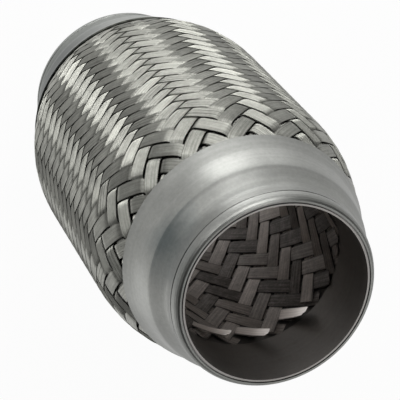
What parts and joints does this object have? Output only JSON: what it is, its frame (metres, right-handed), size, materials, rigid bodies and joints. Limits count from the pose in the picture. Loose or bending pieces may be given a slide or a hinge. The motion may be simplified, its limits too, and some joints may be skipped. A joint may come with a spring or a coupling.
{
  "type": "exhaust flex pipe",
  "caption": "Flexible exhaust coupling: a bellows tube between a woven steel outer sleeve and inner liner, with a formed steel end cap and a plain slip-on mouth at each end.",
  "frame": {"origin": "centre of the rear mouth, on the plane that the pipe stands on", "axes": "+Z along the pipe's axis from the rear mouth to the front mouth, which is the one the picture looks into; -Y toward the side the picture shows"},
  "size_m": [0.0778, 0.0778, 0.1456],
  "materials": {
    "cap_steel": "matte",
    "sleeve_steel": "matte",
    "bellows_steel": "satin",
    "braid_steel": "satin",
    "liner_steel": "satin"
  },
  "bodies": {
    "root": {"front_cap": "cap_steel", "rear_cap": "cap_steel", "front_sleeve": "sleeve_steel", "rear_sleeve": "sleeve_steel", "bellows": "bellows_steel", "outer_braid": "braid_steel", "inner_braid": "liner_steel"}
  },
  "joints": []
}
